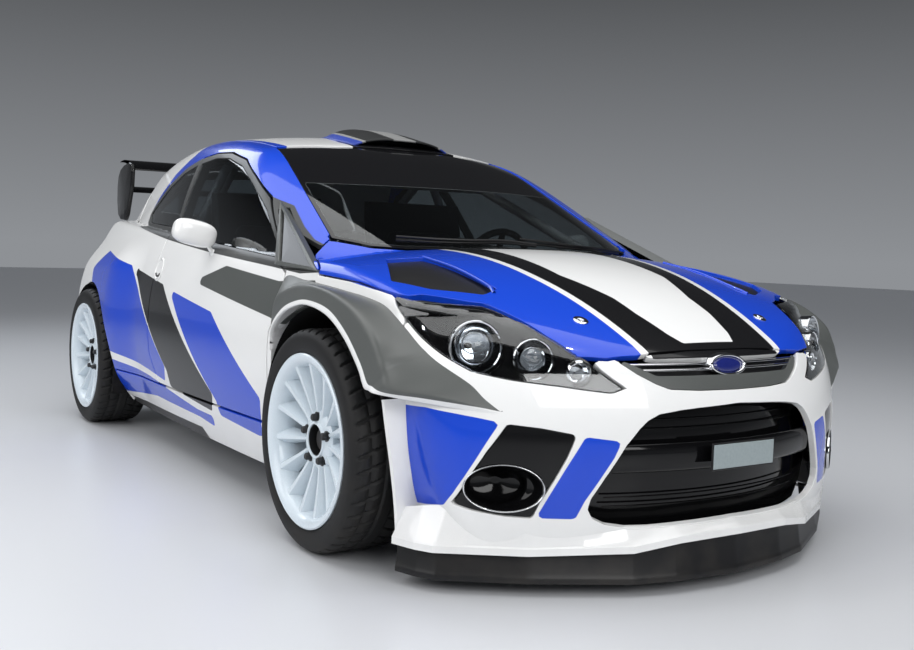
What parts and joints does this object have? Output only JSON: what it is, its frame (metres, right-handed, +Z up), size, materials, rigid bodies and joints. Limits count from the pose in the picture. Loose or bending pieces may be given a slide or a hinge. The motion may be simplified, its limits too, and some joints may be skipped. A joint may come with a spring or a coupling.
{
  "type": "rally car",
  "caption": "Three-door rally car with flared arches, roof scoop and rear wing; doors, bonnet and tailgate open, front wheels steer and all wheels roll.",
  "frame": {"origin": "on the floor under the middle of the car's box", "axes": "+X forward, +Y to the car's left, +Z up"},
  "size_m": [3.963, 1.932, 1.3749],
  "materials": {
    "body_paint": "gloss",
    "window_glass": "gloss",
    "lamp_glass": "gloss",
    "tail_lamp_plastic": "gloss",
    "tyre_rubber": "matt",
    "wheel_paint": "gloss",
    "disc_steel": "satin",
    "grille_plastic": "gloss",
    "black_composite": "gloss",
    "seat_fabric": "matt",
    "cabin_plastic": "matt",
    "cage_paint": "satin",
    "exhaust_steel": "satin",
    "engine_alloy": "satin",
    "suspension_steel": "satin",
    "floor_paint": "satin"
  },
  "bodies": {
    "body": {"body_side_left": "body_paint", "body_side_right": "body_paint", "dashboard": "cabin_plastic", "engine_block": "engine_alloy", "exhaust": "exhaust_steel", "fixed_windows": "window_glass", "floor_pan": "floor_paint", "fog_pods": "grille_plastic", "front_bumper": "body_paint", "front_suspension": "suspension_steel", "front_wing_left": "body_paint", "front_wing_right": "body_paint", "grilles": "grille_plastic", "headlamps": "lamp_glass", "rear_bumper": "body_paint", "rear_suspension": "suspension_steel", "roll_cage": "cage_paint", "roof_panel": "body_paint", "roof_scoop": "body_paint", "seats": "seat_fabric", "sills": "body_paint", "splitter": "black_composite", "tail_lamps": "tail_lamp_plastic"},
    "door_right": {"door_right": "body_paint", "door_glass_right": "window_glass", "mirror_right": "body_paint"},
    "door_left": {"door_left": "body_paint", "door_glass_left": "window_glass", "mirror_left": "body_paint"},
    "bonnet": {"bonnet": "body_paint"},
    "tailgate": {"tailgate": "body_paint", "rear_window": "window_glass", "rear_wing": "black_composite"},
    "knuckle_right": {"knuckle_right": "suspension_steel"},
    "knuckle_left": {"knuckle_left": "suspension_steel"},
    "steering_wheel": {"steering_wheel": "cabin_plastic"},
    "front_wheel_right": {"front_tyre_right": "tyre_rubber", "front_rim_right": "wheel_paint", "front_brake_disc_right": "disc_steel"},
    "front_wheel_left": {"front_tyre_left": "tyre_rubber", "front_rim_left": "wheel_paint", "front_brake_disc_left": "disc_steel"},
    "rear_wheel_right": {"rear_tyre_right": "tyre_rubber", "rear_rim_right": "wheel_paint", "rear_brake_disc_right": "disc_steel"},
    "rear_wheel_left": {"rear_tyre_left": "tyre_rubber", "rear_rim_left": "wheel_paint", "rear_brake_disc_left": "disc_steel"}
  },
  "joints": [
    {"name": "door_right_hinge", "type": "hinge", "parent": "body", "child": "door_right", "pos_m": [0.823, -0.85, 0.6], "axis": [0, 0, 1], "range_deg": [0, 65]},
    {"name": "door_left_hinge", "type": "hinge", "parent": "body", "child": "door_left", "pos_m": [0.823, 0.85, 0.6], "axis": [0, 0, -1], "range_deg": [0, 65]},
    {"name": "bonnet_hinge", "type": "hinge", "parent": "body", "child": "bonnet", "pos_m": [0.784, 0, 0.905], "axis": [0, -1, 0], "range_deg": [0, 55]},
    {"name": "tailgate_hinge", "type": "hinge", "parent": "body", "child": "tailgate", "pos_m": [-1.411, 0, 1.29], "axis": [0, 1, 0], "range_deg": [0, 70]},
    {"name": "steer_left", "type": "hinge", "parent": "body", "child": "knuckle_left", "pos_m": [1.1515, 0.74, 0.32], "axis": [0, 0, 1], "range_deg": [-26, 26]},
    {"name": "steer_right", "type": "hinge", "parent": "body", "child": "knuckle_right", "pos_m": [1.1515, -0.74, 0.32], "axis": [0, 0, 1], "range_deg": [-26, 26]},
    {"name": "steering_column", "type": "hinge", "parent": "body", "child": "steering_wheel", "pos_m": [0.285, 0.36, 0.808], "axis": [-0.9397, 0, 0.342], "range_deg": [-338, 338]},
    {"name": "front_wheel_right_spin", "type": "hinge", "parent": "knuckle_right", "child": "front_wheel_right", "pos_m": [1.1515, -0.78, 0.32], "axis": [0, 1, 0], "continuous": true},
    {"name": "front_wheel_left_spin", "type": "hinge", "parent": "knuckle_left", "child": "front_wheel_left", "pos_m": [1.1515, 0.78, 0.32], "axis": [0, 1, 0], "continuous": true},
    {"name": "rear_wheel_right_spin", "type": "hinge", "parent": "body", "child": "rear_wheel_right", "pos_m": [-1.3285, -0.78, 0.32], "axis": [0, 1, 0], "continuous": true},
    {"name": "rear_wheel_left_spin", "type": "hinge", "parent": "body", "child": "rear_wheel_left", "pos_m": [-1.3285, 0.78, 0.32], "axis": [0, 1, 0], "continuous": true}
  ],
  "couplings": [
    {"joint": "steer_right", "follows": "steer_left", "ratio": 1},
    {"joint": "steering_column", "follows": "steer_left", "ratio": 13}
  ]
}
